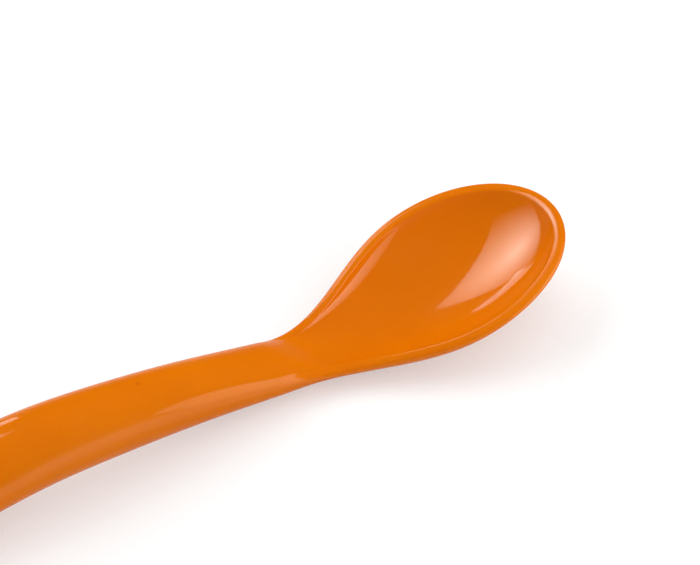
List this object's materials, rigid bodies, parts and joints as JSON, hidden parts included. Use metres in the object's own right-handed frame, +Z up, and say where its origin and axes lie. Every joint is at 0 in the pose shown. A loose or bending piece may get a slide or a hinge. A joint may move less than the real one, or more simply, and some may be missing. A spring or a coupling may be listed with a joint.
{
  "type": "baby spoon",
  "caption": "Glossy orange plastic baby spoon with a chunky arched handle, a rounded neck and a small teardrop bowl with a raised, rounded lip.",
  "frame": {"origin": "bottom centre of the box around the spoon, on the plane that it lies on", "axes": "+X along the spoon towards the tip of the bowl, +Y to its left seen from the handle's end, +Z up out of the bowl"},
  "size_m": [0.1466, 0.027, 0.0129],
  "materials": {
    "plastic": "smooth, glossy, slightly translucent orange plastic"
  },
  "bodies": {
    "root": {"bowl": "plastic", "handle": "plastic"}
  },
  "joints": []
}
